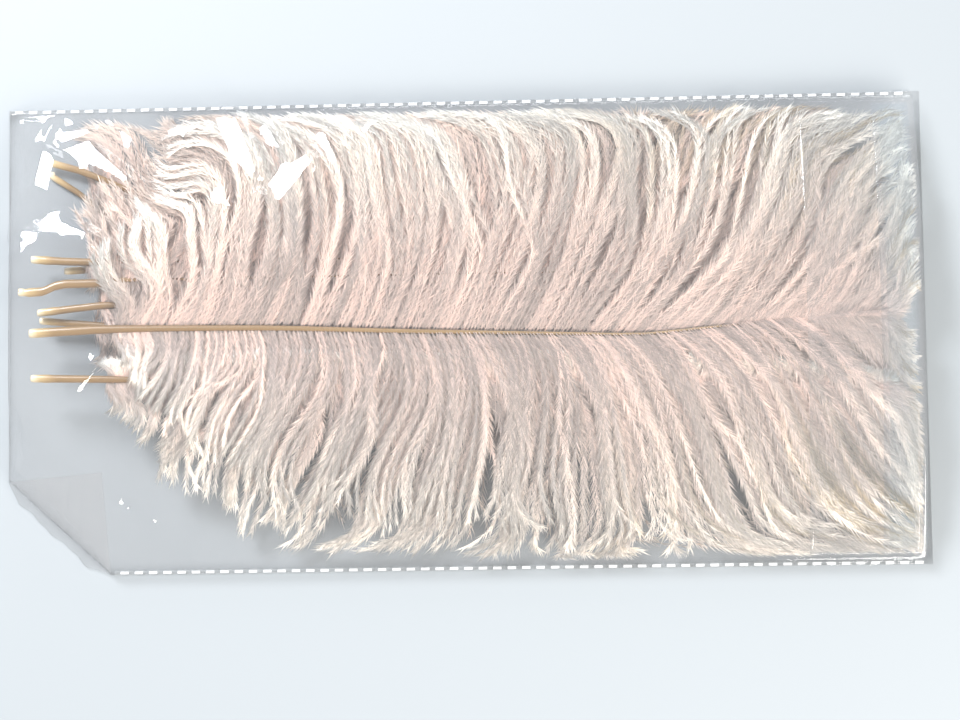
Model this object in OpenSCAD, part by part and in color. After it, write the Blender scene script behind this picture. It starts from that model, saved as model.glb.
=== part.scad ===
// Pack of ostrich plumes in a clear film bag, lying flat.
// +X runs from the bottom fold to the open mouth, +Y across the bag, +Z up.
// The origin is on the underside of the back film, at the middle of the bag.

/* [Bag] */
// Length from the bottom fold to the edge of the back film
bag_length = 308; // [308:1:320]
// Width over the two side welds
bag_width = 158; // [158:1:166]
// Thickness of the film solids
film = 0.12; // [0.08:0.02:0.14]
// Width of a side weld
weld_width = 1.4; // [1:0.1:1.5]
// Distance from one weld dash to the next
dash_pitch = 4.8; // [4.2:0.1:6]
// Length of a weld dash
dash_length = 2.8; // [2:0.1:3.4]
// Height of the front film over the middle of the pile
crown_height = 16.3; // [16.3:0.1:18]
// Length of the tucked corner along the bottom fold
tuck_across = 32; // [20:1:36]
// Length of the tucked corner along the side weld
tuck_along = 35; // [20:1:36]

/* [Flap] */
// How far the opened flap lies back over the front film
flap_length = 38; // [30:1:45]
// Width of the adhesive strip on the flap
adhesive_width = 9; // [6:0.5:10]
// Width of the release liner over the adhesive
liner_width = 12; // [11:0.5:14]

/* [Plumes] */
// Distance between two layers of the pile
layer_pitch = 1.6; // [1.6:0.01:1.62]
// Thickness of a vane in the middle of the pile
vane_thickness = 0.7; // [0.4:0.05:0.7]
// Furthest that barbs reach from the bag's centre line
barb_reach = 76.3; // [70:0.1:76.3]

/* [Hidden] */
x_fold = -bag_length / 2;
x_back = bag_length / 2;
x_mouth = x_back - 3;          // the front film ends short of the back film
x_pile = -118;                 // where the front film starts down to the fold
y_edge = bag_width / 2;
y_weld = y_edge - weld_width;  // inner side of the welds
y_wall = y_weld - 0.7;         // where the front film turns down to the weld
slope_y = 28;                  // the crown of the front film ends here
film_low = 0.35;               // the front film's height at the welds
gap = 0.15;                    // between the flap and the front film
section_step = 4;              // distance between the points of the film's section
liner_gap = 0.02;              // clear space between the flap's film, adhesive and liner
wall_knee = [0.35, 0.55];      // the side film's bend: out from the wall, and part of its height
plume_count = 9;
shaft_sides = 10;
shaft_rings = 26;

bag_nodes = ["back_film", "tucked_corner", "bottom_fold", "weld_upper", "weld_lower",
             "weld_dashes_upper", "weld_dashes_lower", "front_film_crown",
             "front_film_upper_slope", "front_film_lower_slope", "front_film_upper_side",
             "front_film_lower_side", "end_film_middle", "end_film_upper", "end_film_lower",
             "flap_film", "flap_adhesive", "flap_liner"];

// A plume: its layer in the pile, the quill's radius, where its barbs start,
// their reach above and below the shaft, and the shaft's course.
function layer(p) = p[0];
function quill_radius(p) = p[1];
function barb_start(p) = p[2];
function reach_up(p) = p[3];
function reach_down(p) = p[4];
function course(p) = p[5];
plumes = [
  [1, 0.95, -124, 44, 52, [[-140, 61], [-126, 56.5], [-99.5, 44.5], [-58, 37], [23, 34.5], [116, 33]]],
  [0, 0.95, -128, 48, 50, [[-140, 57.5], [-129.5, 50], [-114, 36.5], [-105, 29.5], [-78, 23.5], [23, 16.5],
                           [110, 12]]],
  [4, 1.0, -126, 50, 55, [[-144.5, 27], [-127, 25.5], [23, 25], [124, 27]]],
  [2, 0.9, -125, 50, 60, [[-134, 23], [-127.5, 23.5], [-58, 25], [110, 24.5]]],
  [6, 1.1, -117, 58, 60, [[-145.5, 17.5], [-137, 17], [-132.5, 19], [-115, 19], [42, 19], [128, 18.5]]],
  [5, 0.95, -121, 62, 64, [[-142, 8.5], [-120.5, 11], [32, 7.5], [130, 4.5]]],
  [3, 0.9, -124, 60, 60, [[-142, 6.5], [-128, 5], [42, -10.5], [122, -18.5]]],
  [7, 1.15, -112, 75, 62, [[-144, 1.5], [-124, 2.5], [-104, 2.5], [-64, 2], [-17, 0], [45, -2], [59, -2.5],
                           [86, 0], [136, 3.5]]],
  [8, 0.95, -116, 14, 62, [[-143, -13.5], [-108, -14.5], [90, -19], [138, -21]]]
];

function first(course) = course[0][0];
function last(course) = course[len(course) - 1][0];

// Place across the bag of a shaft at x, with its corners eased
function shaft_y(p, x) = (lookup(x - 5, course(p)) + 2 * lookup(x, course(p)) + lookup(x + 5, course(p))) / 4;

// Height of the middle of a layer at y: the pile thins towards the welds
function layer_z(level, y) = lookup(abs(y), [
  [slope_y, level == 0 ? 1.25 : 3.25 + layer_pitch * (level - 1)],
  [60, level < 2 ? 1.25 + 2 * level : 4.6 + 0.65 * (level - 2)],
  [barb_reach, 0.4 + 0.42 * level]]);
function half_vane(y) = lookup(abs(y), [
  [slope_y, vane_thickness / 2], [60, vane_thickness * 0.35], [barb_reach, vane_thickness * 0.24]]);

// Height of the front film's inner face at y
function film_z(y) = crown_height * (1 - 0.72 * pow(abs(y) / y_wall, 2.2));

// How sharply the front film comes down at its end, which stands on the quills,
// and how far it runs there to the bottom fold or the tucked corner's diagonal
function fall_power(y) = lookup(abs(y - 5), [[25, 18], [34, 7], [56, 5], [80, 3]]);
function end_span(y) = x_pile - x_fold - 0.6 - max(0, tuck_a[1] - y) * tuck_along / tuck_across;

// The film's section across the bag from y0 to y1, with points at even places
function section(y0, y1) = concat([[y0, film_z(y0)]],
  [for (k = [floor(y0 / section_step) + 1:ceil(y1 / section_step) - 1])
    [k * section_step, film_z(k * section_step)]],
  [[y1, film_z(y1)]]);
// The film's side, from the slope's edge down to the weld
function side_section(side) = [[side * (y_wall + 0.02), film_z(y_wall)],
  [side * (y_wall + wall_knee[0]), film_z(y_wall) * wall_knee[1]], [side * (y_weld - film - 0.1), film_low]];

// A section and its offset outer side, as one closed outline
function normal_at(line, i) =
  let (a = line[max(0, i - 1)], b = line[min(len(line) - 1, i + 1)], d = b - a) [-d[1], d[0]] / norm(d);
function offset_line(line, distance) = [for (i = [0:len(line) - 1]) line[i] + distance * normal_at(line, i)];
function ribbon(line, near, far) = concat(offset_line(line, near),
  [for (i = [len(line) - 1:-1:0]) line[i] + far * normal_at(line, i)]);

module along_x(x0, x1) {
  translate([x0, 0, 0]) rotate([90, 0, 90]) linear_extrude(x1 - x0) children();
}

module film_strip(line) {
  color("gainsboro", 0.4) along_x(x_pile, x_mouth) polygon(ribbon(line, 0, film));
}

// The front film's end, where it comes down over the quills to the fold
module film_end(inner) {
  outer = offset_line(inner, film);
  columns = len(inner);
  stations = [0, 0.2, 0.4, 0.55, 0.68, 0.78, 0.85, 0.9, 0.94, 0.97, 0.99, 1];
  rows = len(stations);
  function height(z, s, y, base) = base + (z - base) * (1 - pow(s, fall_power(y)));
  points = concat(
    [for (s = stations, q = inner)
      [x_pile - 0.05 - s * end_span(q[0]), q[0], height(q[1], s, q[0], film_low)]],
    [for (s = stations, i = [0:columns - 1])
      let (q = outer[i], y = inner[i][0])
      [x_pile - 0.05 - s * (end_span(y) + film), q[0], height(q[1], s, y, film_low + film)]]);
  count = rows * columns;
  function at(r, c, side) = side * count + r * columns + c;
  // Two triangles for each four-cornered patch
  function patch(a, b, c, d) = [[a, b, c], [a, c, d]];
  patches = concat(
    [for (r = [0:rows - 2], c = [0:columns - 2])
      patch(at(r, c, 1), at(r + 1, c, 1), at(r + 1, c + 1, 1), at(r, c + 1, 1))],
    [for (r = [0:rows - 2], c = [0:columns - 2])
      patch(at(r + 1, c + 1, 0), at(r + 1, c, 0), at(r, c, 0), at(r, c + 1, 0))],
    [for (c = [0:columns - 2]) patch(at(0, c, 0), at(0, c, 1), at(0, c + 1, 1), at(0, c + 1, 0))],
    [for (c = [0:columns - 2], r = rows - 1) patch(at(r, c, 0), at(r, c + 1, 0), at(r, c + 1, 1), at(r, c, 1))],
    [for (r = [0:rows - 2]) patch(at(r, 0, 0), at(r + 1, 0, 0), at(r + 1, 0, 1), at(r, 0, 1))],
    [for (r = [0:rows - 2], c = columns - 1)
      patch(at(r, c, 0), at(r, c, 1), at(r + 1, c, 1), at(r + 1, c, 0))]);
  faces = [for (p = patches, t = p) t];
  color("gainsboro", 0.4) polyhedron(points, faces, convexity = 6);
}

module flap_film() {
  line = section(-y_wall + 1.5, y_wall - 1.5);
  color("gainsboro", 0.5) along_x(x_mouth - flap_length, x_mouth) polygon(ribbon(line, film + gap, 2 * film + gap));
}

module flap_band(x0, width, near, far, y_end, tint) {
  color(tint, 0.6) along_x(x0, x0 + width) polygon(ribbon(section(-y_end, y_end), near, far));
}

module flap_adhesive() {
  low = 2 * film + gap + liner_gap;
  flap_band(x_mouth - 3 - adhesive_width, adhesive_width, low, low + 0.06, y_wall - 3, "white");
}

module flap_liner() {
  low = 2 * film + gap + 2 * liner_gap + 0.06;
  flap_band(x_mouth - 2 - liner_width, liner_width, low, low + 0.08, y_wall - 2.5, "whitesmoke");
}

tuck_a = [x_fold, -y_edge + tuck_across];
tuck_b = [x_fold + tuck_along, -y_edge];
corner = [x_fold, -y_edge];
// The tip of the corner once it is folded under, mirrored in the fold line
tuck_way = (tuck_b - tuck_a) / norm(tuck_b - tuck_a);
tuck_foot = tuck_a + tuck_way * ((corner - tuck_a) * tuck_way);
tuck_tip = 2 * tuck_foot - corner;

module corner_cut() {
  translate([0, 0, -1]) linear_extrude(3)
    polygon([tuck_a - 40 * tuck_way, tuck_b + 40 * tuck_way, corner - [60, 60]]);
}

module tuck_triangle(inset) {
  middle = (tuck_a + tuck_b + tuck_tip) / 3;
  polygon([for (q = [tuck_a, tuck_b, tuck_tip]) middle + (q - middle) * (1 - inset)]);
}

module tucked_corner() {
  color("gainsboro", 0.6) linear_extrude(film) tuck_triangle(0.03);
}

module back_film() {
  color("gainsboro", 0.5) difference() {
    union() {
      translate([x_fold, -y_edge, 0]) cube([bag_length, bag_width, film]);
      linear_extrude(2 * film) tuck_triangle(0);
    }
    translate([0, 0, -1]) linear_extrude(1 + film + 0.02) tuck_triangle(0.02);
    corner_cut();
  }
}

module bottom_fold() {
  color("whitesmoke", 0.7) translate([x_fold + 0.25, tuck_a[1] + 1, film + 0.24])
    rotate([-90, 0, 0]) cylinder(h = y_weld - tuck_a[1] - 1.2, r = 0.2, $fn = 24);
}

// The lower weld starts beyond the tucked corner
function weld_start(side) = side > 0 ? x_fold + 0.1 : tuck_b[0] + 1;

module weld(side) {
  color("whitesmoke", 0.7) translate([weld_start(side), side > 0 ? y_weld + 0.02 : -y_edge, film + 0.02])
    cube([x_mouth - weld_start(side), weld_width - 0.02, 2 * film]);
}

module dashes(side) {
  x_start = weld_start(side) + 2;
  count = floor((x_mouth - x_start - dash_length) / dash_pitch);
  color("white") for (i = [0:count])
    translate([x_start + i * dash_pitch, side * (y_edge - weld_width / 2) - 0.45, 3 * film + 0.02])
      cube([dash_length, 0.9, 0.14]);
}

module weld_upper() { weld(1); }
module weld_lower() { weld(-1); }
module weld_dashes_upper() { dashes(1); }
module weld_dashes_lower() { dashes(-1); }
module front_film_crown() { film_strip(section(-slope_y, slope_y)); }
module front_film_upper_slope() { film_strip(section(slope_y + 0.05, y_wall - 0.1)); }
module front_film_lower_slope() { film_strip(section(-y_wall + 0.1, -slope_y - 0.05)); }
module front_film_upper_side() { film_strip(side_section(1)); }
module front_film_lower_side() {
  line = side_section(-1);
  film_strip([for (k = [len(line) - 1:-1:0]) line[k]]);
}
module end_film_middle() { film_end(section(-20, 30)); }
module end_film_upper() { film_end(concat(section(30.1, y_wall), [[y_weld - 0.3, film_low]])); }
module end_film_lower() { film_end(concat([[-y_weld + 0.3, film_low]], section(-y_wall, -20.1))); }

// Quill and shaft in one: a rounded cut end, then an even taper to the tip
module shaft(i) {
  p = plumes[i - 1];
  x0 = first(course(p));
  x1 = last(course(p));
  stations = concat([0, 0.25, 0.8], [for (k = [1:shaft_rings]) 0.8 + (x1 - x0 - 0.8) * k / shaft_rings]);
  function radius(d) = quill_radius(p) * min(1, 0.55 + 0.6 * d) * (1 - 0.86 * pow(d / (x1 - x0), 1.15));
  points = [for (d = stations, k = [0:shaft_sides - 1])
    let (x = x0 + d, y = shaft_y(p, x), a = 360 * k / shaft_sides)
    [x, y + radius(d) * cos(a), layer_z(layer(p), y) + radius(d) * sin(a)]];
  rings = len(stations);
  faces = concat(
    [[for (k = [shaft_sides - 1:-1:0]) k]],
    [[for (k = [0:shaft_sides - 1]) (rings - 1) * shaft_sides + k]],
    [for (r = [0:rings - 2], k = [0:shaft_sides - 1])
      let (a = r * shaft_sides + k, b = r * shaft_sides + (k + 1) % shaft_sides)
      [a, b, b + shaft_sides, a + shaft_sides]]);
  color(i == 5 ? "peru" : "burlywood") polyhedron(points, faces);
}

// Outline of one vane from above: short barbs at the quill, full reach along
// the middle, swept forward, and a round tip past the end of the shaft
module vane_outline(p, side) {
  x0 = barb_start(p);
  x1 = last(course(p));
  reach = side > 0 ? reach_up(p) : reach_down(p);
  steps = 14;
  rise = side > 0 ? 0.12 : 0.3;
  sweep = 14;
  function width(s) = max(0.4, reach * min(1, pow(s / rise, 0.8)) * pow(max(0, 1 - pow(s, 5)), 0.5));
  function along(s) = x0 + (x1 - x0) * s;
  polygon(concat(
    [for (k = [0:steps]) let (x = along(k / steps)) [x, shaft_y(p, x) + side * 0.1]],
    [for (k = [steps:-1:0]) let (s = k / steps, x = along(s))
      [min(x_mouth - 1.5, x + sweep * min(1, width(s) / 30 + max(0, s - 0.8))),
       max(-barb_reach, min(barb_reach, shaft_y(p, x) + side * (0.1 + width(s))))]]));
}

module vane(i, side) {
  p = plumes[i - 1];
  ys = [-barb_reach, -60, -slope_y, slope_y, 60, barb_reach];
  band = concat([for (y = ys) [y, layer_z(layer(p), y) - half_vane(y)]],
                [for (k = [len(ys) - 1:-1:0]) [ys[k], layer_z(layer(p), ys[k]) + half_vane(ys[k])]]);
  color(side > 0 ? "mistyrose" : "pink") intersection() {
    along_x(barb_start(p) - 1, x_back) polygon(band);
    linear_extrude(crown_height + 2) vane_outline(p, side);
  }
}

back_film();
tucked_corner();
bottom_fold();
weld_upper();
weld_lower();
weld_dashes_upper();
weld_dashes_lower();
front_film_crown();
front_film_upper_slope();
front_film_lower_slope();
front_film_upper_side();
front_film_lower_side();
end_film_middle();
end_film_upper();
end_film_lower();
flap_film();
flap_adhesive();
flap_liner();
for (i = [1:plume_count]) {
  shaft(i);
  vane(i, 1);
  vane(i, -1);
}
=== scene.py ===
# Ostrich plumes packed flat in a clear film bag, built round the CAD frame.
import bpy
import bmesh
import math
import numpy as np
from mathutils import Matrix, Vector


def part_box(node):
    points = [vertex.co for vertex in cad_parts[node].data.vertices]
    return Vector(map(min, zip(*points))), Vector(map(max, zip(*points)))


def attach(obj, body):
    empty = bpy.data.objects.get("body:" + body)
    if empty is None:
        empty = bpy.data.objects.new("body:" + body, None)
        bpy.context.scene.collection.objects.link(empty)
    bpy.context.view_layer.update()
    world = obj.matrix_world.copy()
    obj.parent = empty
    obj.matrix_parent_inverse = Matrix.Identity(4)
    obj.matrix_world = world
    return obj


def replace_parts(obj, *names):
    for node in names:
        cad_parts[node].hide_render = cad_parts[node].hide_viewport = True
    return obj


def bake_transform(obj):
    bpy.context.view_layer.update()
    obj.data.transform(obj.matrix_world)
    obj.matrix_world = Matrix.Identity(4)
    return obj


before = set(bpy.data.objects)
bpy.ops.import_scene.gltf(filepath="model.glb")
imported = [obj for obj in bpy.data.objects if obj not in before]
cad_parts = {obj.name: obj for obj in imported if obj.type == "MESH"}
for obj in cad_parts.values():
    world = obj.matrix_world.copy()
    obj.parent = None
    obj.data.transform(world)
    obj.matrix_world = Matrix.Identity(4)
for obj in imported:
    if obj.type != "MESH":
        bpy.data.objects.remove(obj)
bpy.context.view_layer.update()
mm = 0.001
print("frame loaded:", len(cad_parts), "nodes")


def hexLinear(text):
    parts = [int(text[i:i + 2], 16) / 255 for i in (1, 3, 5)]
    linear = [c / 12.92 if c <= 0.04045 else ((c + 0.055) / 1.055) ** 2.4 for c in parts]
    return (*linear, 1.0)


def newMaterial(name):
    material = bpy.data.materials.new(name)
    material.use_nodes = True
    material.node_tree.nodes.clear()
    return material


def addNode(material, kind, settings=None, links=None):
    node = material.node_tree.nodes.new(kind)
    for key, value in (settings or {}).items():
        if isinstance(key, str) and hasattr(node, key):
            setattr(node, key, value)
        else:
            node.inputs[key].default_value = value
    for key, source in (links or {}).items():
        material.node_tree.links.new(source, node.inputs[key])
    return node


def setStops(node, stops):
    ramp = node.color_ramp
    while len(ramp.elements) < len(stops):
        ramp.elements.new(0.5)
    for element, (place, colour) in zip(ramp.elements, stops):
        element.position = place
        element.color = hexLinear(colour)


def smoothStep(low, high, value):
    t = np.clip((value - low) / (high - low), 0, 1)
    return t * t * (3 - 2 * t)


def nodePoints(name):  # a CAD node's corners in millimetres
    mesh = bpy.data.objects[name].data
    points = np.empty(len(mesh.vertices) * 3)
    mesh.vertices.foreach_get("co", points)
    return points.reshape(-1, 3) / mm


def finishMesh(shape, name, material, smooth=True):
    mesh = bpy.data.meshes.new(name)
    shape.to_mesh(mesh)
    shape.free()
    mesh.materials.append(material)
    mesh.polygons.foreach_set("use_smooth", [smooth] * len(mesh.polygons))
    piece = bpy.data.objects.new(name, mesh)
    bpy.context.scene.collection.objects.link(piece)
    return piece


view = {"place": (0.034, -0.0624, 0.7122), "turn": (4.26, 2.36, -0.83), "lens": 80.0}  # metres, degrees
camera = bpy.data.cameras.new("viewCamera")
camera.lens = view["lens"]
camera.sensor_width = 36.0
camera.clip_start = 0.01
cameraHolder = bpy.data.objects.new("viewCamera", camera)
cameraHolder.location = view["place"]
cameraHolder.rotation_euler = [math.radians(turn) for turn in view["turn"]]
bpy.context.scene.collection.objects.link(cameraHolder)
bpy.context.scene.camera = cameraHolder

bench = {"size": 2.4, "colour": "#8e9396"}
roomLight = {"colour": "#f3f4f6", "strength": 0.8}
lamps = [  # name, place, aim, size across and up, power, colour
    ("windowLamp", (-0.55, 0.62, 0.62), (-0.05, 0.03, 0.0), 0.32, 0.32, 21.5, "#f8faff"),
    ("roomLamp", (0.7, -0.82, 0.55), (0.05, -0.2, 0.0), 1.1, 0.5, 37.0, "#fffcf8"),
    ("skyLamp", (0.3, 1.25, 0.34), (0.05, 0.1, 0.0), 1.0, 0.4, 7.5, "#fbfcff"),
]


def makeBench():
    shape = bmesh.new()
    bmesh.ops.create_grid(shape, x_segments=1, y_segments=1, size=bench["size"] / 2)
    material = newMaterial("benchPaint")  # eggshell paint: plain and nearly matt
    shader = addNode(material, "ShaderNodeBsdfPrincipled",
                     {"Base Color": hexLinear(bench["colour"]), "Roughness": 0.7})
    addNode(material, "ShaderNodeOutputMaterial", links={"Surface": shader.outputs[0]})
    floor = finishMesh(shape, "bench", material, smooth=False)


def makeLamps():
    for name, place, aim, across, up, power, colour in lamps:
        lamp = bpy.data.lights.new(name, "AREA")
        lamp.shape = "RECTANGLE"
        lamp.size, lamp.size_y = across, up
        lamp.energy = power
        lamp.color = hexLinear(colour)[:3]
        holder = bpy.data.objects.new(name, lamp)
        holder.location = place
        holder.rotation_euler = (Vector(aim) - Vector(place)).to_track_quat("-Z", "Y").to_euler()
        bpy.context.scene.collection.objects.link(holder)
    world = bpy.data.worlds.new("room")
    world.use_nodes = True
    world.node_tree.nodes["Background"].inputs["Color"].default_value = hexLinear(roomLight["colour"])
    world.node_tree.nodes["Background"].inputs["Strength"].default_value = roomLight["strength"]
    bpy.context.scene.world = world
    bpy.context.scene.cycles.transparent_max_bounces = 40  # many clear layers lie on each other
    bpy.context.scene.view_settings.view_transform = "Standard"


makeBench()
makeLamps()
print("bench and lamps ready")


def makeDown():  # dyed ostrich down: soft matt keratin that glows a little where light comes through
    material = newMaterial("dyedOstrichDown")
    along = addNode(material, "ShaderNodeAttribute", {"attribute_name": "along"})
    tone = addNode(material, "ShaderNodeAttribute", {"attribute_name": "tone"})
    tan = addNode(material, "ShaderNodeAttribute", {"attribute_name": "tan"})
    blush = addNode(material, "ShaderNodeValToRGB", links={"Fac": along.outputs["Fac"]})
    setStops(blush, [(0.0, "#ecdad0"), (0.35, "#f5e9e1"), (0.75, "#fdf8f1"), (1.0, "#fffffc")])
    undyed = addNode(material, "ShaderNodeMix", {"data_type": "RGBA", "B": hexLinear("#cdbd9d")},
                     {"Factor": tan.outputs["Fac"]})
    material.node_tree.links.new(blush.outputs["Color"], undyed.inputs["A"])
    level = addNode(material, "ShaderNodeMapRange", {"To Min": 0.7, "To Max": 1.24},
                    {"Value": tone.outputs["Fac"]})
    shade = addNode(material, "ShaderNodeVectorMath", {"operation": "SCALE"},
                    {0: undyed.outputs["Result"], "Scale": level.outputs["Result"]})
    solid = addNode(material, "ShaderNodeBsdfPrincipled",
                    {"Roughness": 0.62, "Sheen Weight": 0.25, "Sheen Roughness": 0.4},
                    {"Base Color": shade.outputs["Vector"]})
    glow = addNode(material, "ShaderNodeBsdfTranslucent", links={"Color": shade.outputs["Vector"]})
    both = addNode(material, "ShaderNodeMixShader", {0: 0.62}, {1: solid.outputs[0], 2: glow.outputs[0]})
    addNode(material, "ShaderNodeOutputMaterial", links={"Surface": both.outputs[0]})
    return material


def makeQuill():  # horny keratin, scraped clean: cream at the cut end, straw along the shaft, with painted shade darkening its underside and lower flank
    material = newMaterial("quillKeratin")
    along = addNode(material, "ShaderNodeAttribute", {"attribute_name": "along"})
    paintedShade = addNode(material, "ShaderNodeAttribute", {"attribute_name": "paintedShade"})
    straw = addNode(material, "ShaderNodeValToRGB", links={"Fac": along.outputs["Fac"]})
    setStops(straw, [(0.0, "#ddd0b4"), (0.012, "#ad9466"), (0.03, "#82663c"), (0.1, "#785b34"),
                     (0.5, "#866a40"), (1.0, "#b39c78")])
    place = addNode(material, "ShaderNodeTexCoord")
    spread = addNode(material, "ShaderNodeMapping", {"Scale": (60.0, 2400.0, 2400.0)},
                     {"Vector": place.outputs["Object"]})  # fibres 0.4 mm apart, run along the shaft
    fibre = addNode(material, "ShaderNodeTexNoise", {"Scale": 1.0, "Detail": 3.0},
                    {"Vector": spread.outputs["Vector"]})
    # painted shade: the quill's underside and lower flank are mixed towards dark brown
    shadedUnderside = addNode(material, "ShaderNodeMix", {"data_type": "RGBA", "B": hexLinear("#6d4a26")},
                    {"Factor": paintedShade.outputs["Fac"]})
    material.node_tree.links.new(straw.outputs["Color"], shadedUnderside.inputs["A"])
    level = addNode(material, "ShaderNodeMapRange", {"To Min": 0.82, "To Max": 1.12},
                    {"Value": fibre.outputs["Fac"]})
    shade = addNode(material, "ShaderNodeVectorMath", {"operation": "SCALE"},
                    {0: shadedUnderside.outputs["Result"], "Scale": level.outputs["Result"]})
    grain = addNode(material, "ShaderNodeBump", {"Strength": 0.25, "Distance": 0.0001},
                    {"Height": fibre.outputs["Fac"]})
    shader = addNode(material, "ShaderNodeBsdfPrincipled",
                     {"Roughness": 0.34, "IOR": 1.54, "Coat Weight": 0.15, "Coat Roughness": 0.2},
                     {"Base Color": shade.outputs["Vector"], "Normal": grain.outputs["Normal"]})
    addNode(material, "ShaderNodeOutputMaterial", links={"Surface": shader.outputs[0]})
    return material


# Cast polypropylene: clear, sharply glossy and faintly milky where it lies in layers. What is stuck
# down on other film has a low index, because hardly any light is thrown back where they touch.
def makeFilm(name, clear, tint, gloss, haze, index=1.5):
    material = newMaterial(name)
    edge = addNode(material, "ShaderNodeFresnel", {"IOR": index})
    side = addNode(material, "ShaderNodeNewGeometry")
    outside = addNode(material, "ShaderNodeMath", {"operation": "SUBTRACT", 0: 1.0},
                      {1: side.outputs["Backfacing"]})
    mirror = addNode(material, "ShaderNodeMath", {"operation": "MULTIPLY"},
                     {0: edge.outputs[0], 1: outside.outputs[0]})
    through = addNode(material, "ShaderNodeBsdfTransparent", {"Color": hexLinear(clear)})
    milk = addNode(material, "ShaderNodeBsdfDiffuse", {"Color": hexLinear(tint)})
    body = addNode(material, "ShaderNodeMixShader", {0: haze}, {1: through.outputs[0], 2: milk.outputs[0]})
    shine = addNode(material, "ShaderNodeBsdfGlossy", {"Roughness": gloss})
    both = addNode(material, "ShaderNodeMixShader",
                   links={0: mirror.outputs[0], 1: body.outputs[0], 2: shine.outputs[0]})
    addNode(material, "ShaderNodeOutputMaterial", links={"Surface": both.outputs[0]})
    return material


down = makeDown()
quill = makeQuill()
clearFilm = makeFilm("clearPolypropylene", "#fbfbfb", "#f2f5f8", 0.04, 0.02)
weldFilm = makeFilm("whitenedWeld", "#fcfdfd", "#ffffff", 0.12, 0.06)
dashFilm = makeFilm("weldDashFilm", "#fcfdfe", "#ffffff", 0.2, 0.42)
tapeFilm = makeFilm("adhesiveFilm", "#fcfdfd", "#ffffff", 0.18, 0.012, 1.08)
linerFilm = makeFilm("releaseLinerFilm", "#fbfcfd", "#f7f9fb", 0.1, 0.014, 1.25)
print("materials ready")


# Where the pile begins to slope and where it ends, out from the middle, and how its layers thin there
pile = {"turnY": 65.0, "slopeY": 28.0, "midY": 60.0, "edgeY": 76.3, "midStep": 0.65, "midFirst": 4.6,
        "edgeStep": 0.42, "edgeFirst": 0.4, "half": (0.35, 0.25, 0.17)}


def layerHeight(layer, centre, y):  # middle of a layer: the pile thins towards the welds
    middle = centre if layer < 2 else pile["midFirst"] + pile["midStep"] * (layer - 2)
    edge = pile["edgeFirst"] + pile["edgeStep"] * layer
    return np.interp(np.abs(y), [pile["slopeY"], pile["midY"], pile["edgeY"]], [centre, middle, edge])


def halfLayer(y):
    return np.interp(np.abs(y), [pile["slopeY"], pile["midY"], pile["edgeY"]], pile["half"])


backLow, backHigh = (np.array(c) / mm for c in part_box("back_film"))
crownHigh = np.array(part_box("front_film_crown")[1]) / mm
film = {"thick": 0.06, "lift": 0.08, "wallY": 76.9, "weldY": 77.6, "edgeY": 79.0, "low": 0.35,
        "pileX": -118.0, "tuckAcross": 32.0, "tuckAlong": 35.0, "drop": 0.72, "power": 2.2}
mouthX = crownHigh[0]
foldX = backLow[0]
crownZ = crownHigh[2] - 0.12  # underside of the crown's film in CAD


def endSpan(y):  # run from the pile's end to the bottom fold or the tucked corner
    cut = np.maximum(0, (-film["edgeY"] + film["tuckAcross"]) - y) * film["tuckAlong"] / film["tuckAcross"]
    return film["pileX"] - foldX - 0.6 - cut


def crownHeight(y):  # the film over the full pile, from weld to weld
    out = np.minimum(np.abs(y), film["wallY"]) / film["wallY"]
    return crownZ * (1 - film["drop"] * out ** film["power"])


# Flat panes between the film's creases that catch the window: middle, half length and width, degrees, lift
panes = ((-139, 60, 13, 3.2, 80, 0.6), (-122, 60, 18, 3.8, -36, 1.0), (-130, 69, 7, 2.4, 10, 0.4),
         (-72, 60, 17, 3.6, -64, 1.0), (-79, 45, 6, 2.2, -42, 0.5), (-63, 66, 6, 2.2, -50, 0.5),
         (-56, 53, 11, 4.4, 42, 0.9), (-44, 62, 7, 2.6, -58, 0.5), (-136, 36, 16, 4.4, -14, 0.8),
         (-126, -10, 7, 4.2, 38, 0.9), (-130, -49, 8, 1.0, 20, 0.3), (-108, -58, 6, 1.0, -28, 0.3),
         (-148, -38, 6, 0.9, 84, 0.2), (-145, 46, 5, 1.2, -60, 0.3), (-92, 70, 8, 1.6, 8, 0.4),
         (-30, 70, 5, 1.2, 30, 0.3), (-149, 8, 5, 0.7, 88, 0.2))
paneSlope = (0.22, -0.25)  # turns a pane's glare from the window to straight above

# Sharp ridges in the film: from, to, height, width
creases = ((-153, -22, -120, -24, 0.5, 0.9), (-153, 27.5, -143, 27, 0.6, 1.2),
           (-153, 17, -144, 17.5, 0.6, 1.0), (-153, 1, -143, 1.5, 0.6, 1.4),
           (-153, -13, -142, -13.5, 0.6, 1.4), (-151, 76, -130, 52, 0.5, 1.1),
           (-148, 60, -139, 61, 0.4, 1.2), (-120, 76, -104, 62, 0.4, 1.0),
           (-60, 76, -44, 58, 0.4, 1.2), (-150, -2, -150, -11, 0.4, 0.8),
           (-140, -30, -112, -60, 0.35, 1.1), (-96, -76, -84, -60, 0.4, 1.2),
           (-20, 76, -14, 66, 0.35, 1.0), (30, -76, 40, -66, 0.35, 1.0),
           (-52, -76, -46, -68, 0.3, 1.0), (92, 76, 100, 64, 0.35, 1.1),
           (-147, 44, -124, 40, 0.4, 1.0))


def addCreases(x, y, height):
    for x0, y0, x1, y1, rise, width in creases:
        run = math.hypot(x1 - x0, y1 - y0)
        along = ((x - x0) * (x1 - x0) + (y - y0) * (y1 - y0)) / run ** 2
        away = np.abs((x - x0) * (y1 - y0) - (y - y0) * (x1 - x0)) / run
        fade = smoothStep(-0.15, 0.25, along) * (1 - smoothStep(0.6, 1.15, along))
        height = height + rise * fade * np.exp(-away / width)
    return height


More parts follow.
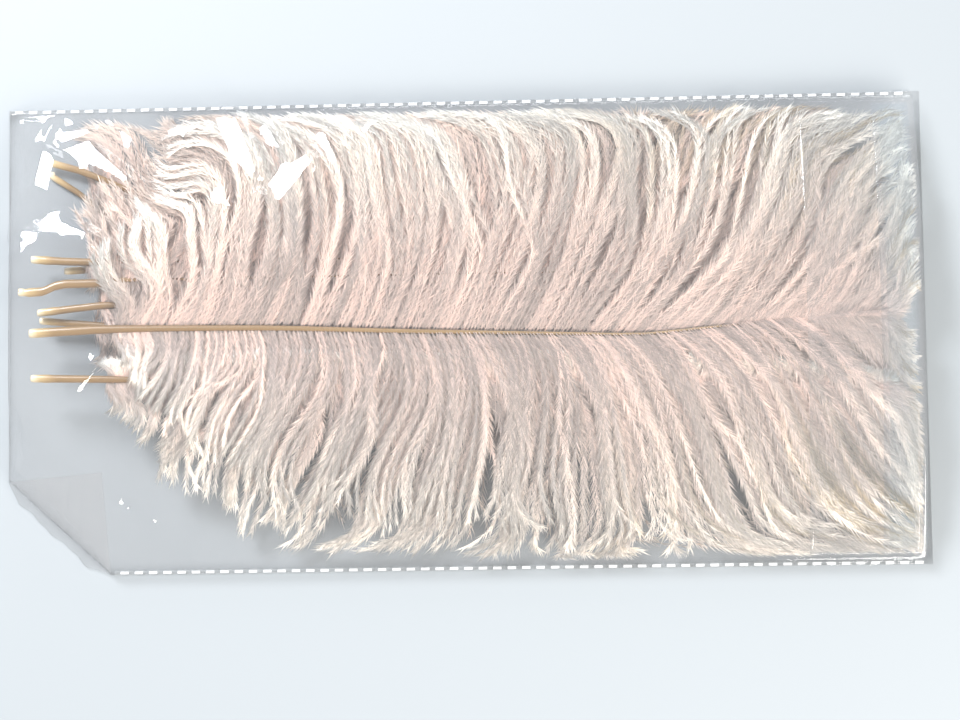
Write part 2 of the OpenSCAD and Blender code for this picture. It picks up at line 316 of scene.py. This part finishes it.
def addPanes(x, y, height, base):
    for px, py, length, width, turn, lift in panes:
        way = math.radians(turn)
        along = (x - px) * math.cos(way) + (y - py) * math.sin(way)
        across = (y - py) * math.cos(way) - (x - px) * math.sin(way)
        narrow = width * (1 - 0.35 * along / length)  # each pane tapers to one end
        mask = (1 - smoothStep(0.75, 1.25, np.abs(along) / length)) \
            * (1 - smoothStep(0.7, 1.5, np.abs(across) / np.maximum(narrow, 0.4)))
        centre = base(np.array([px * 1.0]), np.array([py * 1.0]))[0] + lift
        plane = centre + paneSlope[0] * (x - px) + paneSlope[1] * (y - py)
        height = height + (plane - height) * mask
    return height


def filmHeight(x, y):
    inside = 1 - smoothStep(74.5, 76.8, np.abs(y))
    form = filmForm(x, y)
    return addPanes(x, y, addCreases(x, y, form) * inside + form * (1 - inside), filmForm)


def filmForm(x, y):  # the film without its creases and panes
    wall = 1 - smoothStep(film["wallY"], film["weldY"] + 0.2, np.abs(y))
    section = film["low"] + (crownHeight(y) - film["low"]) * wall
    sharp = np.interp(np.abs(y - 5), [25, 34, 56, 80], [18, 7, 5, 3])
    run = np.clip((film["pileX"] - x) / np.maximum(endSpan(y), 0.5), 0, 1)
    height = film["low"] + (section - film["low"]) * (1 - run ** sharp)
    inside = 1 - smoothStep(66, 76.8, np.abs(y))
    free = smoothStep(foldX, foldX + 12, x) * (1 - smoothStep(mouthX - 45, mouthX - 30, x))
    ripple = 0.16 * np.sin(x / 9.1 + y / 23) * np.sin(y / 11.3 - x / 37) + 0.1 * np.sin(x / 4.7 - y / 7.9)
    pucker = 0.16 * np.sin(x / 3.1 + 2.3 * np.sin(x / 17)) * (0.5 + 0.5 * np.sin(x / 23))
    pucker = pucker * smoothStep(50, 72, np.abs(y)) * (1 - run ** 3)
    return height + (0.6 + ripple) * inside * free + np.abs(pucker) * (1 - smoothStep(74, 77, np.abs(y)))


def filmSheet(name, x0, x1, columns, y0, y1, rows, lift, material, cut=False, curl=0.0):
    shape = bmesh.new()
    bmesh.ops.create_grid(shape, x_segments=columns, y_segments=rows, size=1.0)
    spread = 0.45 * math.pi
    grid = np.array([v.co[:] for v in shape.verts])
    xs = x0 + (x1 - x0) * (grid[:, 0] + 1) / 2
    across = np.sin(grid[:, 1] * spread) / math.sin(spread)  # finer towards the welds
    ys = (y0 + y1) / 2 + (y1 - y0) / 2 * across
    zs = filmHeight(xs, ys) + lift + curl * np.exp(-(xs - x0) / 1.5)
    for vert, x, y, z in zip(shape.verts, xs, ys, zs):
        vert.co = (x * mm, y * mm, z * mm)
    if cut:
        cutCorner(shape)
    bmesh.ops.recalc_face_normals(shape, faces=shape.faces)
    return giveWall(finishMesh(shape, name, material))


def giveWall(piece):
    wall = piece.modifiers.new("filmWall", "SOLIDIFY")
    wall.thickness = film["thick"] * mm
    wall.offset = 0.0
    return piece


def cutCorner(shape):  # the tucked corner's diagonal
    start = Vector((foldX, -film["edgeY"] + film["tuckAcross"], 0)) * mm
    end = Vector((foldX + film["tuckAlong"], -film["edgeY"], 0)) * mm
    way = (end - start).normalized()
    bmesh.ops.bisect_plane(shape, geom=shape.verts[:] + shape.edges[:] + shape.faces[:], plane_co=start,
                           plane_no=(-way.y, way.x, 0), clear_inner=True)


frontFilm = filmSheet("frontFilm", foldX + 0.3, mouthX + 0.1, 280, -78.9, 78.9, 136, film["lift"],
                      clearFilm, cut=True)
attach(frontFilm, "bag")
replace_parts(frontFilm, "front_film_crown", "front_film_upper_slope", "front_film_lower_slope",
            "front_film_upper_side", "front_film_lower_side", "end_film_middle", "end_film_upper",
            "end_film_lower")
print("front film made")


shaftLook = {"sides": 12, "rings": 90, "groove": 0.1, "knot": 0.1, "oval": 0.28, "slant": 0.9,
             "bluntFor": 5.0, "hollow": 0.14, "hollowDeep": 1.2}
kink = {"plume": 5, "x": (-148, -145, -139.5, -135.5, -132, -119),
        "y": (15.6, 15.4, 15.7, 17.5, 18.1, 18.1)}
# Layer from the bottom, where the barbs close over the shaft, where they start, their reach above and
# below it, how many barbs, barbules on each, seed, and how many barbs end undyed
plumeKeys = ("layer", "closed", "start", "up", "down", "barbs", "fine", "seed", "tan")
plumes = {number: dict(zip(plumeKeys, row)) for number, row in {
    1: (1, -96, -124, 44, 52, 190, 76, 11, 0.1),
    2: (0, -110, -128, 48, 50, 170, 60, 12, 0.1),
    3: (4, -114, -126, 50, 55, 190, 70, 13, 0.5),
    4: (2, -118, -125, 50, 60, 170, 60, 14, 0.3),
    5: (6, -112, -117, 58, 60, 200, 84, 15, 0.6),
    6: (5, -112, -121, 62, 64, 190, 76, 16, 0.2),
    7: (3, -114, -124, 60, 60, 180, 66, 17, 0.2),
    8: (7, 88, -116, 76, 66, 252, 158, 18, 0.2),
    9: (8, -106, -118, 8, 62, 246, 158, 19, 0.15),
}.items()}
# How barbs run, at places along the shaft: degrees from the tip's direction where they leave it and
# where they end, and how far the end lies towards the tip and out from the shaft, as parts of the reach
flows = {
    "upper": {"at": (0, 0.05, 0.12, 0.22, 0.35, 0.5, 0.62, 0.72, 0.82, 0.9, 0.96, 1),
              "root": (62, 58, 56, 60, 66, 64, 55, 45, 37, 30, 22, 12),
              "end": (145, 135, 120, 100, 118, 140, 135, 85, 30, 18, 10, 2),
              "along": (-0.12, -0.1, -0.02, 0.08, -0.04, 0.02, 0.26, 0.56, 0.72, 0.58, 0.38, 0.22),
              "out": (0.3, 0.62, 0.92, 1.08, 1.12, 1.14, 1.14, 1.1, 0.98, 0.74, 0.42, 0.1)},
    "lower": {"at": (0, 0.06, 0.15, 0.27, 0.4, 0.52, 0.65, 0.76, 0.86, 0.93, 0.97, 1),
              "root": (85, 78, 70, 66, 62, 53, 43, 36, 31, 26, 19, 10),
              "end": (118, 116, 112, 106, 94, 64, 40, 31, 27, 21, 12, 4),
              "along": (0.05, -0.04, -0.16, -0.21, -0.13, 0.1, 0.44, 0.74, 0.78, 0.62, 0.4, 0.22),
              "out": (0.12, 0.32, 0.6, 0.88, 1, 1.04, 1.12, 1.12, 1, 0.68, 0.34, 0.08)},
}


def shaftCourse(number):  # middle and radius of the shaft at each ring of its CAD solid
    points = nodePoints(f"plume_{number}_shaft")
    stations = np.unique(np.round(points[:, 0], 2))
    rings = [points[np.abs(points[:, 0] - s) < 0.02] for s in stations]
    course = np.array([(s, (r[:, 1].min() + r[:, 1].max()) / 2, (r[:, 2].min() + r[:, 2].max()) / 2,
                        (r[:, 2].max() - r[:, 2].min()) / 2) for s, r in zip(stations, rings)])
    if number == kink["plume"]:  # the one quill that was bent when it was packed
        places = np.union1d(course[:, 0], kink["x"])
        course = np.stack([places] + [np.interp(places, course[:, 0], course[:, k]) for k in (1, 2, 3)], 1)
        bent = course[:, 0] <= kink["x"][-1]
        course[bent, 1] = np.interp(course[bent, 0], kink["x"], kink["y"])
    return course


def conePattern(sides, rings):  # a closed spike along Z, as corners and faces
    shape = bmesh.new()
    bmesh.ops.create_cone(shape, cap_ends=True, segments=sides, radius1=1, radius2=1, depth=1)
    bmesh.ops.translate(shape, verts=shape.verts, vec=(0, 0, 0.5))
    if rings > 1:
        upright = [e for e in shape.edges if abs(e.verts[0].co.z - e.verts[1].co.z) > 0.5]
        bmesh.ops.subdivide_edges(shape, edges=upright, cuts=rings - 1)
    else:
        top = [v for v in shape.verts if v.co.z > 0.5]
        bmesh.ops.pointmerge(shape, verts=top, merge_co=(0, 0, 1))
    bmesh.ops.triangulate(shape, faces=shape.faces[:])
    bmesh.ops.recalc_face_normals(shape, faces=shape.faces[:])
    shape.verts.index_update()
    corners = np.array([v.co[:] for v in shape.verts])
    faces = np.array([[v.index for v in f.verts] for f in shape.faces])
    shape.free()
    return corners, faces


bladePattern = conePattern(3, 11)
spikePattern = conePattern(3, 1)


def repeatFaces(faces, count, corners, first):
    return (faces[None] + (np.arange(count) * corners)[:, None, None]).reshape(-1, 3) + first


def downMesh(name, corners, faces, values, material):
    mesh = bpy.data.meshes.new(name)
    mesh.vertices.add(len(corners))
    mesh.vertices.foreach_set("co", (corners * mm).astype(np.float32).ravel())
    mesh.loops.add(len(faces) * 3)
    mesh.loops.foreach_set("vertex_index", faces.astype(np.int32).ravel())
    mesh.polygons.add(len(faces))
    mesh.polygons.foreach_set("loop_start", np.arange(0, len(faces) * 3, 3, dtype=np.int32))
    mesh.update(calc_edges=True)
    mesh.polygons.foreach_set("use_smooth", np.ones(len(faces), bool))
    for key, value in values.items():
        attribute = mesh.attributes.new(key, "FLOAT", "POINT")
        attribute.data.foreach_set("value", value.astype(np.float32))
    mesh.materials.append(material)
    mesh.validate()
    piece = bpy.data.objects.new(name, mesh)
    bpy.context.scene.collection.objects.link(piece)
    return piece


whorls = ((-92, 54, 15, 95), (120, 62, 12, -40))  # across, up, size, degrees turned


def swing(place, dice, waves, low, high):  # a smooth seeded wander about nought
    total = 0 * place
    for _ in range(waves):
        total = total + np.sin(place / dice.uniform(low, high) + dice.uniform(0, 2 * math.pi))
    return total / math.sqrt(waves)


def hides(look, x):  # where the barbs close over the shaft
    return smoothStep(look["closed"] - 8, look["closed"] + 8, x)


# Barbs cling together in locks: how many in each, how its lean and its tip's curl vary in degrees, how
# far its tips are drawn together, and how many barbs stray from theirs
locks = {"size": (2, 6), "lean": 4.0, "curl": 20.0, "pull": 0.32, "strays": 0.07}


def barbCourses(course, sign, look, flow, reach, dice):  # the barbs from above, as smooth curves
    count, points = look["barbs"], 13
    start, end = look["start"], course[-1, 0]
    share = 1 - (1 - (np.arange(count) + 0.5 + dice.uniform(-0.3, 0.3, count)) / count) ** 1.3
    root = np.stack([start + (end - start) * share, 0 * share], 1)
    root[:, 1] = np.interp(root[:, 0], course[:, 0], course[:, 1]) - sign * 0.7 * hides(look, root[:, 0])
    table = {key: np.interp(share, flow["at"], flow[key]) for key in ("root", "end", "along", "out")}
    sizes = dice.integers(*locks["size"], count)
    lock = np.repeat(np.arange(count), sizes)[:count]
    total = lock.max() + 1
    spreads = (locks["lean"], locks["curl"], 1.6 + 0.4 * sign, 1.3 + 0.4 * sign)
    lean, curl, bow, snake = (np.clip(dice.normal(0, spread, total), -2 * spread, 2 * spread)[lock]
                              for spread in spreads)
    grow = dice.uniform(0.88, 1.03, count) + 0.05 * swing(root[:, 0], dice, 3, 1.5, 6)
    tip = root.copy()
    tip[:, 0] += reach * (table["along"] + 0.05 * swing(root[:, 0], dice, 3, 3, 9)
                          + dice.normal(0, 0.02, count))
    tip[:, 1] += sign * (2 + (reach - 2) * table["out"]) * grow
    run = np.linalg.norm(tip - root, axis=1)
    away = np.radians(table["root"] + lean * 0.6 + dice.normal(0, 2, count))
    home = np.radians(table["end"] + curl + 10 * swing(root[:, 0], dice, 3, 2.5, 8)
                      + dice.normal(0, 8, count))
    firstPull = root + (0.42 * run)[:, None] * np.stack([np.cos(away), sign * np.sin(away)], 1)
    lastPull = tip - (0.38 * run)[:, None] * np.stack([np.cos(home), sign * np.sin(home)], 1)
    t = np.linspace(0, 1, points)[None, :, None]
    courses = (1 - t) ** 3 * root[:, None] + 3 * t * (1 - t) ** 2 * firstPull[:, None] \
        + 3 * t * t * (1 - t) * lastPull[:, None] + t ** 3 * tip[:, None]
    chord = (tip - root) / run[:, None]
    crosswise = np.stack([-chord[:, 1], chord[:, 0]], 1)[:, None]
    stray = dice.random(count) < locks["strays"]
    shake = snake + 0.7 * swing(root[:, 0], dice, 3, 2.0, 6.0) \
        + np.where(stray, dice.normal(0, 2.2, count), 0)
    slow = bow + 1.2 * swing(root[:, 0], dice, 2, 6.0, 14.0)
    bends = shake[:, None] * np.sin(2.2 * math.pi * t[..., 0]) + slow[:, None] * np.sin(math.pi * t[..., 0])
    bends = bends * smoothStep(0.0, 0.4, t[..., 0])
    courses = courses + crosswise * (bends * np.minimum(1, run / 40)[:, None])[..., None]
    out = sign * courses[..., 1]
    spare = np.maximum(0, out - pile["turnY"])  # barbs too long for the bag turn along its weld
    room = pile["edgeY"] - pile["turnY"]
    courses[..., 1] = sign * (np.minimum(out, pile["turnY"]) + room * (1 - np.exp(-spare / room)))
    courses[..., 0] += np.where(share < 0.66, -0.75, 0.6)[:, None] * spare
    members = np.bincount(lock, minlength=total)[:, None, None]
    centre = np.zeros((total, points, 2))  # each lock's middle, towards which its barbs are drawn
    np.add.at(centre, lock, courses)
    centre = (centre / members)[lock]
    pull = (np.linspace(0, 1, points) ** 1.2 * locks["pull"])[None, :, None]
    courses = courses + (centre - courses) * np.where(stray[:, None, None], 0, pull)
    courses[..., 1] = sign * np.minimum(sign * courses[..., 1], pile["edgeY"] - 0.1)
    offset = courses[:, points // 2, 0] - centre[:, points // 2, 0]
    return courses, lock, offset, share, stray


# The eighth plume's lower barbs lie over the ninth's shaft: distance out, height, half thickness
overNinth = {"out": (-4, 0, 4, 11, 16, 21, 28, 60, 77),
             "height": (13.0, 13.3, 14.6, 15.4, 15.78, 15.5, 15.2, 9.9, 4.6),
             "half": (0.2, 0.3, 0.3, 0.25, 0.18, 0.2, 0.2, 0.3, 0.15)}


def slab(number, centre, y, over):  # the space a vane's down keeps to: middle, half thickness, room above
    layer = plumes[number]["layer"]
    middle, half, room = layerHeight(layer, centre, y), halfLayer(y), 0 * y
    if number == 8:
        room = np.maximum(0.3, 0.42 * (crownHeight(y) - middle)) * smoothStep(4, 14, y)
        middle = np.where(over, np.interp(-y, overNinth["out"], overNinth["height"]), middle)
        half = np.where(over, np.interp(-y, overNinth["out"], overNinth["half"]), half)
    if number == 9:
        room = np.interp(np.abs(y), [28, 60, 76], [0.05, 0.2, 0.3])
    return middle, half, room


def stir(points):  # the whorls that the film has pressed into the down
    for x, y, radius, turn in whorls:
        away = points - np.array([x, y])
        spin = math.radians(turn) * np.exp(-(away ** 2).sum(-1) / radius ** 2)
        points = np.stack([x + away[..., 0] * np.cos(spin) - away[..., 1] * np.sin(spin),
                           y + away[..., 0] * np.sin(spin) + away[..., 1] * np.cos(spin)], -1)
    return points


blade = {"root": 0.22, "tip": 0.07, "flat": 0.45}  # a barb's half width at its two ends, its flatness
spike = {"turn": (14, 40), "reach": 5.2, "size": 0.165, "grow": 0.05, "flat": 0.5}  # a barbule
mouth = {"soften": 140.0, "room": 10.3, "last": 150.7}  # where the bag's mouth stops the tips
tones = {"upper": 0.56, "lower": 0.34, "barb": 0.2, "lock": 0.18, "barbule": 0.27}  # levels and how they vary


def barbSpines(number, centre, plan, over, offset, sway, dice):  # lifts the barbs' courses into the pile
    points = plan.shape[1]
    t = np.linspace(0, 1, points)[None]
    crest = np.clip(1 - (offset / 3.0) ** 2, -1, 1)[:, None]
    relief = 0.45 * crest + 0.35 * sway * np.sin(3 * t + 2 * sway) + dice.normal(0, 0.15, (len(plan), 1))
    relief = np.clip(relief, -1, 1) * np.minimum(1, 4 * t)
    middle, half, room = slab(number, centre, plan[..., 1], over)
    z = middle + relief * half * 0.6 + (relief * 0.5 + 0.5) * room * np.minimum(1, 3 * t)
    course = shaftCourse(number)
    crown = hides(plumes[number], plan[:, 0, 0]) \
        * (np.interp(plan[:, 0, 0], course[:, 0], course[:, 3]) + 0.2)
    z = z + crown[:, None] * np.clip(1 - 9 * t, 0, 1)
    return np.concatenate([plan, z[..., None]], 2)


def between(values, low, part):  # values at places between the points of the barbs
    return values[:, low] * (1 - part) + values[:, low + 1] * part


def unit(ways):
    return ways / np.maximum(np.linalg.norm(ways, axis=2, keepdims=True), 1e-6)


def sideways(ways):
    return unit(np.stack([-ways[..., 1], ways[..., 0], 0 * ways[..., 0]], 2))


def bladeShapes(spine, ways, width):  # each barb is a flattened spike along its spine
    pattern = bladePattern[0]
    place = pattern[:, 2] * (spine.shape[1] - 1)
    low = np.minimum(place.astype(int), spine.shape[1] - 2)
    part = (place - low)[None, :]
    size = between(width, low, part)
    corners = between(spine, low, part[..., None])
    corners += sideways(between(ways, low, part[..., None])) * (size * pattern[None, :, 0])[..., None]
    corners[..., 2] += blade["flat"] * size * pattern[None, :, 1]
    return corners


def spikeShapes(number, sign, reach, centre, spine, ways, over, dice):  # the barbules along the barbs
    barbs, points = spine.shape[:2]
    fine, pattern = plumes[number]["fine"], spikePattern[0]
    u = ((np.arange(fine)[None] + dice.random((barbs, fine))) / fine) ** 1.2 * 0.97 + 0.01
    place = u * (points - 1)
    low = np.minimum(place.astype(int), points - 2)
    part = (place - low)[..., None]
    row = np.arange(barbs)[:, None]
    root = spine[row, low] * (1 - part) + spine[row, low + 1] * part
    aim = ways[row, low] * (1 - part) + ways[row, low + 1] * part
    turn = np.where(np.arange(fine)[None] % 2 == 0, 1, -1) \
        * np.radians(dice.uniform(*spike["turn"], (barbs, fine))) * (1 - 0.45 * u)
    length = (spike["reach"] - 1.2 * u) * np.minimum(1, 0.55 + 6 * u * reach / plumes[8]["up"]) \
        * dice.uniform(0.7, 1.15, (barbs, fine))
    flat = unit(np.stack([aim[..., 0] * np.cos(turn) - aim[..., 1] * np.sin(turn),
                          aim[..., 0] * np.sin(turn) + aim[..., 1] * np.cos(turn)], 2))
    tip = root.copy()
    tip[..., :2] += flat * length[..., None]
    tip[..., 1] = sign * np.minimum(sign * tip[..., 1], pile["edgeY"] + 0.1)
    tip[..., 0] = np.minimum(tip[..., 0], mouth["last"])
    middle, half, room = slab(number, centre, tip[..., 1], over[:, :1])
    tip[..., 2] += dice.normal(0, 0.6, (barbs, fine)) * np.minimum(1, 3 * u) * (half + 0.4 * room)
    tip[..., 2] = np.clip(tip[..., 2], middle - half, middle + half + room)
    spikeWay = tip - root
    size = (spike["size"] + spike["grow"] * u[..., None]) * dice.uniform(0.75, 1.2, (barbs, fine, 1))
    spikes = root[..., None, :] + spikeWay[..., None, :] * pattern[:, 2][:, None] \
        + sideways(spikeWay)[..., None, :] * (size * pattern[:, 0])[..., None]
    spikes[..., 2] += spike["flat"] * size * pattern[:, 1]
    return spikes, u


def growVane(number, side):
    sign = 1 if side == "upper" else -1
    look, flow = plumes[number], flows[side]
    reach = look["up"] if sign > 0 else look["down"]
    dice = np.random.default_rng(look["seed"] * 10 + (sign > 0))
    course = shaftCourse(number)
    centre = course[len(course) // 2, 2]
    plan, lock, offset, share, stray = barbCourses(course, sign, look, flow, reach, dice)
    barbs, points = plan.shape[:2]
    plan = stir(plan)
    plan[..., 1] = sign * np.minimum(sign * plan[..., 1], pile["edgeY"] - 0.1)
    over = np.broadcast_to(((number == 8) & (sign < 0) & (share < 0.9))[:, None], plan.shape[:2])
    past = np.maximum(0, plan[..., 0] - mouth["soften"])
    plan[..., 0] += mouth["room"] * (1 - np.exp(-past / mouth["room"])) - past
    sway = dice.uniform(-1, 1, lock.max() + 1)[lock][:, None]
    spine = barbSpines(number, centre, plan, over, offset, sway, dice)
    ways = unit(np.gradient(spine, axis=1))
    width = blade["tip"] + (blade["root"] - blade["tip"]) * (1 - np.linspace(0, 1, points)[None])
    width = width * dice.uniform(0.85, 1.15, (barbs, 1))
    tone = tones[side] + tones["barb"] * dice.normal(size=barbs) + tones["lock"] * sway[:, 0]
    tone = np.clip(tone, 0, 1)
    tone = np.where(stray, 1.0, tone)
    tanBarb = np.where(dice.random(barbs) < look["tan"], smoothStep(0.45, 0.9, share), 0) * 0.8
    blades = bladeShapes(spine, ways, width)
    spikes, u = spikeShapes(number, sign, reach, centre, spine, ways, over, dice)
    perBlade, perSpike, fine = blades.shape[1], spikes.shape[2], look["fine"]
    bladeAlong = np.repeat(bladePattern[0][None, :, 2], barbs, 0)
    spikeAlong = np.clip(u[..., None] * 0.92 + 0.16 * spikePattern[0][:, 2] + 0.02, 0, 1)
    toneFine = np.repeat(tone[:, None], fine, 1) + dice.normal(0, tones["barbule"], (barbs, fine))
    toneFine = np.clip(toneFine, 0, 1)
    gapShadeScale = (1 if sign > 0 else 0.78) if number > 7 else 0.5  # buried barbs are drawn pinker, painted shade where they show between the top ones; the top plumes' lower vanes are a little pinker too
    values = {
        "along": gapShadeScale * np.concatenate([bladeAlong.ravel(), spikeAlong.ravel()]),
        "tone": np.concatenate([np.repeat(tone, perBlade), np.repeat(toneFine.ravel(), perSpike)]),
        "tan": np.concatenate([(tanBarb[:, None] * smoothStep(0.3, 0.8, bladeAlong)).ravel(),
                               (tanBarb[:, None, None] * smoothStep(0.3, 0.8, spikeAlong)).ravel()]),
    }
    faces = np.concatenate([repeatFaces(bladePattern[1], barbs, perBlade, 0),
                            repeatFaces(spikePattern[1], barbs * fine, perSpike, barbs * perBlade)])
    piece = downMesh(f"plume{number}{side.capitalize()}Down",
                     np.concatenate([blades.reshape(-1, 3), spikes.reshape(-1, 3)]), faces, values, down)
    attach(piece, f"plume_{number}")
    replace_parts(piece, f"plume_{number}_vane_{side}")
    return len(faces)


def makeShaft(number):
    course = shaftCourse(number)
    rings, sides = shaftLook["rings"], shaftLook["sides"]
    shape = bmesh.new()
    bmesh.ops.create_cone(shape, cap_ends=True, segments=sides, radius1=1, radius2=1, depth=1)
    upright = [e for e in shape.edges if abs(e.verts[0].co.z - e.verts[1].co.z) > 0.5]
    bmesh.ops.subdivide_edges(shape, edges=upright, cuts=rings - 1)
    alongLayer = shape.verts.layers.float.new("along")
    paintedShadeLayer = shape.verts.layers.float.new("paintedShade")
    x0, x1 = course[0, 0], course[-1, 0]
    for vert in shape.verts:
        s = (vert.co.z + 0.5) ** 1.6  # rings closer at the cut end
        x = x0 + (x1 - x0) * s
        y, z, radius = (np.interp(max(x, x0 + 0.4), course[:, 0], course[:, k]) for k in (1, 2, 3))
        radius *= 1 - 0.5 * hides(plumes[number], x)
        bluntTo = x0 + shaftLook["bluntFor"]
        blunt = 0.85 * np.interp(bluntTo, course[:, 0], course[:, 3]) if x < bluntTo else 0
        radius = max(radius, blunt) * (1.12 - 0.1 * s)
        a, b = vert.co.x, vert.co.y
        groove = 1 - shaftLook["groove"] * max(0.0, b) ** 6 * smoothStep(0.03, 0.12, s)  # along the top
        x += (0.5 * vert.co.y + 0.5) * shaftLook["slant"] if s < 0.0005 else 0  # the cut end slants
        knot = 1 + shaftLook["knot"] * math.exp(-((x - x0 - 5.5) / 1.2) ** 2) * (number % 3 == 0)
        vert[alongLayer] = s
        # painted shade: how far each corner lies on the quill's underside and lower flank, where the material
        # darkens it
        vert[paintedShadeLayer] = float(smoothStep(0.25, 0.95, -b) * 0.75 + 0.25 * smoothStep(0.5, 1, -a))
        oval = 1 + shaftLook["oval"] * (1 - smoothStep(-125, -95, x))  # the bag squashes the bare quills
        vert.co = (x * mm, (y + a * radius * knot * oval) * mm, (z + b * radius * knot * groove) * mm)
    hollowEnd(shape)
    bmesh.ops.recalc_face_normals(shape, faces=shape.faces[:])
    piece = finishMesh(shape, f"plume{number}Shaft", quill)
    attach(piece, f"plume_{number}")
    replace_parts(piece, f"plume_{number}_shaft")


def hollowEnd(shape):  # the quill's cut end shows its hollow
    cap = min((f for f in shape.faces if len(f.verts) > 4), key=lambda f: f.calc_center_median().x)
    bmesh.ops.inset_individual(shape, faces=[cap], thickness=shaftLook["hollow"] * mm)
    bmesh.ops.translate(shape, verts=cap.verts[:], vec=(shaftLook["hollowDeep"] * mm, 0, 0))


triangles = 0
for number in plumes:
    makeShaft(number)
    for side in ("upper", "lower"):
        triangles += growVane(number, side)
print("plumes made,", triangles, "triangles of down")


def makeBack():
    shape = bmesh.new()
    bmesh.ops.create_grid(shape, x_segments=60, y_segments=30, size=1.0)
    for vert in shape.verts:
        x, y = vert.co.x * backHigh[0], vert.co.y * film["edgeY"]
        vert.co = (x * mm, y * mm, 0.07 * mm)
    cutCorner(shape)
    bmesh.ops.recalc_face_normals(shape, faces=shape.faces)
    piece = giveWall(finishMesh(shape, "backFilm", clearFilm))
    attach(piece, "bag")
    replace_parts(piece, "back_film")
    return piece


tuckY = -film["edgeY"] + film["tuckAcross"]
rolls = {  # film turned round an edge of the bag: from, to, how far it stands out, half its height
    "bottomFold": ((foldX + 0.7, film["weldY"]), (foldX + 0.7, tuckY + 1), 0.55, 0.16),
    "cornerRoll": ((foldX, tuckY), (foldX + film["tuckAlong"], -film["edgeY"]), 3.1, 0.5),
}


def makeRoll(name):
    start, end, out, half = rolls[name]
    shape = bmesh.new()
    bmesh.ops.create_grid(shape, x_segments=60, y_segments=12, size=1.0)
    run = math.hypot(end[0] - start[0], end[1] - start[1])
    wayX, wayY = (end[0] - start[0]) / run, (end[1] - start[1]) / run
    for vert in shape.verts:
        part, turn = (vert.co.x + 1) / 2, vert.co.y * math.pi / 2
        uneven = 1 + 0.12 * math.sin(17 * part) + 0.06 * math.sin(41 * part)
        swell = min(1, 6 * part, 6 * (1 - part)) * uneven
        reach = out * swell * math.cos(turn)
        x = start[0] + wayX * run * part + wayY * reach
        y = start[1] + wayY * run * part - wayX * reach
        vert.co = (x * mm, y * mm, (half * (1 + math.sin(turn)) + 0.14) * mm)
    bmesh.ops.recalc_face_normals(shape, faces=shape.faces[:])
    piece = giveWall(finishMesh(shape, name, clearFilm))
    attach(piece, "bag")
    return piece


backFilm = makeBack()
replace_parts(makeRoll("bottomFold"), "bottom_fold")
makeRoll("cornerRoll")
for node, material in (("weld_upper", weldFilm), ("weld_lower", weldFilm), ("tucked_corner", clearFilm),
                       ("weld_dashes_upper", dashFilm), ("weld_dashes_lower", dashFilm)):
    for slot in bpy.data.objects[node].material_slots:
        slot.material = material
print("back film and welds made")


flap = {"length": 38.0, "axisZ": 16.6, "halfY": 75.4, "gap": 0.22, "step": 0.09, "curl": 0.45, "rows": 90,
        "tapeFrom": 12.0, "tapeTo": 3.0, "tapeY": 73.5, "linerFrom": 14.0, "linerTo": 2.0, "linerY": 74.2}
flapLift = film["lift"] + flap["gap"]
flapFilm = filmSheet("flapFilm", mouthX - flap["length"], mouthX - 0.1, 40, -flap["halfY"], flap["halfY"],
                     flap["rows"], flapLift, clearFilm, curl=flap["curl"])
tape = filmSheet("adhesiveStrip", mouthX - flap["tapeFrom"], mouthX - flap["tapeTo"], 12, -flap["tapeY"],
                 flap["tapeY"], flap["rows"], flapLift + flap["step"], tapeFilm)
liner = filmSheet("releaseLiner", mouthX - flap["linerFrom"], mouthX - flap["linerTo"], 14, -flap["linerY"],
                  flap["linerY"], flap["rows"], flapLift + 2 * flap["step"], linerFilm)
for piece, node, slot in ((flapFilm, "flap_film", "film"), (tape, "flap_adhesive", "adhesive"),
                          (liner, "flap_liner", "liner")):
    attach(piece, "flap")
    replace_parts(piece, node)


def makeHinge():  # the film's fold at the mouth, from the front film up to the closed flap
    rows, columns = 8, 150
    shape = bmesh.new()
    bmesh.ops.create_grid(shape, x_segments=rows, y_segments=columns, size=1.0)
    for vert in shape.verts:
        part, y = (1 - vert.co.x) / 2, vert.co.y * flap["halfY"]
        x = mouthX + 0.15 - 0.25 * part
        z = filmHeight(np.array([mouthX]), np.array([y]))[0] + film["lift"] + flap["gap"] * part
        vert.co = (x * mm, y * mm, z * mm)
    bmesh.ops.recalc_face_normals(shape, faces=shape.faces[:])
    piece = finishMesh(shape, "flapFold", clearFilm)
    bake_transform(piece)


makeHinge()
print("flap made")
